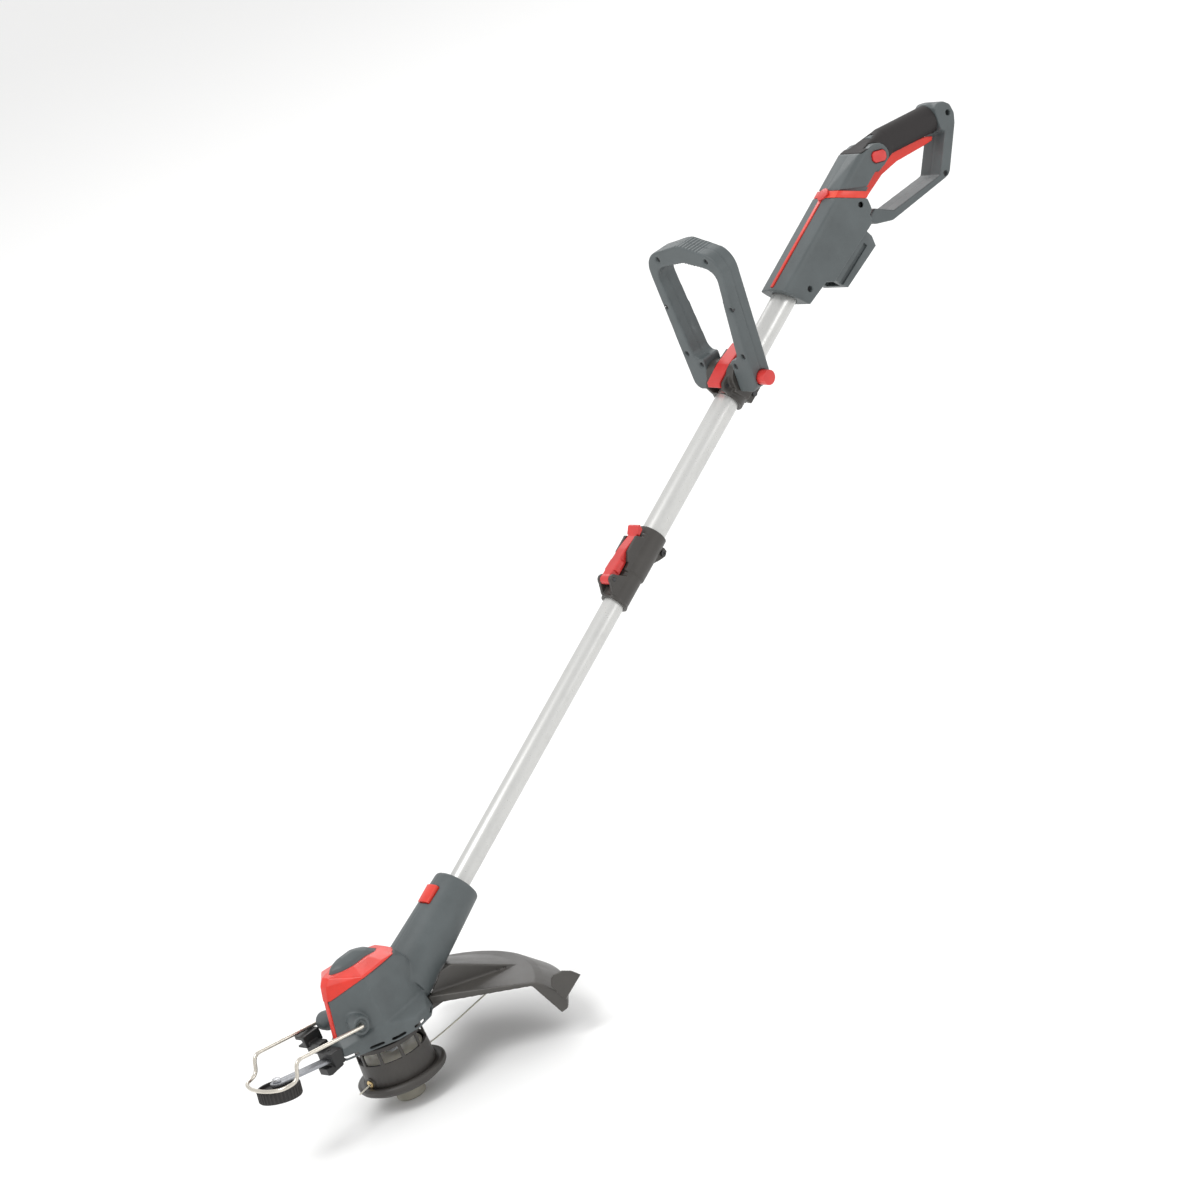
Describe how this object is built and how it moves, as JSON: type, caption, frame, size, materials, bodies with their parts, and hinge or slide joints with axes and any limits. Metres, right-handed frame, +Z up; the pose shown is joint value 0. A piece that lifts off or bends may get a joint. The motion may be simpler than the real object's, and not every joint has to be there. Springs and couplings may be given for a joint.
{
  "type": "string trimmer",
  "caption": "Cordless string trimmer: telescopic shaft with cam clamps, loop handle, swivelling motor head with line spool, guard, bow and edging wheel.",
  "frame": {"origin": "centre of the bump knob's lower face, which the line head stands on", "axes": "+Z up along the spindle, +X forward away from the operator, +Y to the operator's left; the shaft leans back 63 degrees from +Z towards -X"},
  "size_m": [1.2146, 0.2787, 0.5926],
  "materials": {
    "shell": "fine grained moulded plastic",
    "clamp": "moulded plastic",
    "black": "moulded plastic",
    "trim": "satin moulded plastic",
    "red": "satin moulded plastic",
    "soft": "soft overmould",
    "tube": "anodised drawn tube",
    "steel": "bright",
    "dark_steel": "blackened",
    "wire": "bright wire",
    "brass": "polished",
    "board": "laminate",
    "guard": "moulded plastic",
    "knob": "moulded plastic",
    "nylon": "extruded nylon",
    "lead": "cable sheath",
    "tread": "moulded",
    "arm": "pressed strip",
    "copper": "windings and laminations"
  },
  "bodies": {
    "handle": {"housing_left": "shell", "housing_right": "shell", "soft_grip": "soft", "spine_trim": "trim", "badge": "red", "housing_screws": "dark_steel", "battery_dock": "shell", "battery_terminals": "brass", "control_board": "board", "trigger_switch": "black", "trigger_pin": "steel", "trigger_spring": "steel", "lock_spring": "steel", "upper_tube": "tube", "clamp_body": "clamp", "clamp_screw": "dark_steel", "clamp_pin": "dark_steel", "coil_lead": "lead"},
    "trigger": {"trigger": "trim"},
    "lock_button": {"lock_button": "red"},
    "mid_lever": {"clamp_lever": "red"},
    "loop_base": {"loop_clamp": "clamp", "loop_clamp_screw": "dark_steel", "loop_cam_pin": "dark_steel"},
    "loop_lever": {"loop_cam_lever": "red"},
    "loop": {"loop_front": "shell", "loop_rear": "shell", "loop_screws": "dark_steel", "tilt_spring": "steel"},
    "tilt_button": {"tilt_button": "red"},
    "lower_shaft": {"lower_tube": "tube", "guide_bush": "black"},
    "head": {"head_left": "shell", "head_right": "shell", "head_cap": "shell", "head_trim": "trim", "latch_spring": "steel", "motor_can": "steel", "motor_bearing": "steel", "guard": "guard", "guard_screws": "dark_steel", "line_cutter": "steel", "bow_clip": "black", "wheel_arm": "arm", "wheel_bolt": "steel"},
    "latch_button": {"latch_button": "trim"},
    "rotor": {"motor_rotor": "copper", "cooling_fan": "black", "crown": "clamp", "flange_cap": "clamp", "eyelets": "brass", "line_tail": "nylon", "line_stub": "nylon", "spool_spring": "steel"},
    "spool": {"line_spool": "nylon", "line_coil": "nylon", "bump_knob": "knob"},
    "bow": {"wire_bow": "wire"},
    "edge_wheel": {"edge_wheel": "tread"}
  },
  "joints": [
    {"name": "tube_slide", "type": "slide", "parent": "handle", "child": "lower_shaft", "axis": [-0.891, 0, 0.454], "range_m": [-0.06, 0.2]},
    {"name": "head_swivel", "type": "hinge", "parent": "lower_shaft", "child": "head", "pos_m": [0, 0, 0.082], "axis": [-0.891, 0, 0.454], "range_deg": [0, 180]},
    {"name": "latch_press", "type": "slide", "parent": "head", "child": "latch_button", "axis": [-0.454, 0, -0.891], "range_m": [0, 0.003], "stiffness_N_per_m": 900, "springref_m": -0.002, "deforming": ["latch_spring"]},
    {"name": "head_spin", "type": "hinge", "parent": "head", "child": "rotor", "pos_m": [0, 0, 0.05], "axis": [0, 0, 1], "continuous": true},
    {"name": "bump_feed", "type": "slide", "parent": "rotor", "child": "spool", "axis": [0, 0, 1], "range_m": [0, 0.006], "stiffness_N_per_m": 1500, "springref_m": -0.004, "deforming": ["spool_spring"]},
    {"name": "bow_fold", "type": "hinge", "parent": "head", "child": "bow", "pos_m": [0.039, 0, 0.1045], "axis": [0, -1, 0], "range_deg": [0, 95]},
    {"name": "wheel_roll", "type": "hinge", "parent": "head", "child": "edge_wheel", "pos_m": [0.133, 0, 0.084], "axis": [-0.1736, 0, 0.9848], "continuous": true},
    {"name": "trigger_pull", "type": "hinge", "parent": "handle", "child": "trigger", "pos_m": [-0.91643, 0, 0.54558], "axis": [0, 1, 0], "range_deg": [0, 3], "stiffness_Nm_per_rad": 6, "springref_deg": -1.72, "deforming": ["trigger_spring"]},
    {"name": "lock_press", "type": "slide", "parent": "handle", "child": "lock_button", "axis": [0, -1, 0], "range_m": [0, 0.003], "stiffness_N_per_m": 700, "springref_m": -0.002, "deforming": ["lock_spring"]},
    {"name": "loop_slide", "type": "slide", "parent": "handle", "child": "loop_base", "axis": [-0.891, 0, 0.454], "range_m": [-0.12, 0.06]},
    {"name": "loop_lever", "type": "hinge", "parent": "loop_base", "child": "loop_lever", "pos_m": [-0.65944, 0.0017, 0.4398], "axis": [-0.0396, 0.9962, -0.0777], "range_deg": [0, 95]},
    {"name": "loop_tilt", "type": "hinge", "parent": "loop_base", "child": "loop", "pos_m": [-0.67905, 0.00101, 0.44096], "axis": [-0.0396, 0.9962, -0.0777], "range_deg": [-40, 70]},
    {"name": "tilt_press", "type": "slide", "parent": "loop", "child": "tilt_button", "axis": [0.0396, -0.9962, 0.0777], "range_m": [0, 0.004], "stiffness_N_per_m": 700, "springref_m": -0.002, "deforming": ["tilt_spring"]},
    {"name": "shaft_lever", "type": "hinge", "parent": "handle", "child": "mid_lever", "pos_m": [-0.44511, 0, 0.3318], "axis": [0, 1, 0], "range_deg": [0, 90]}
  ]
}
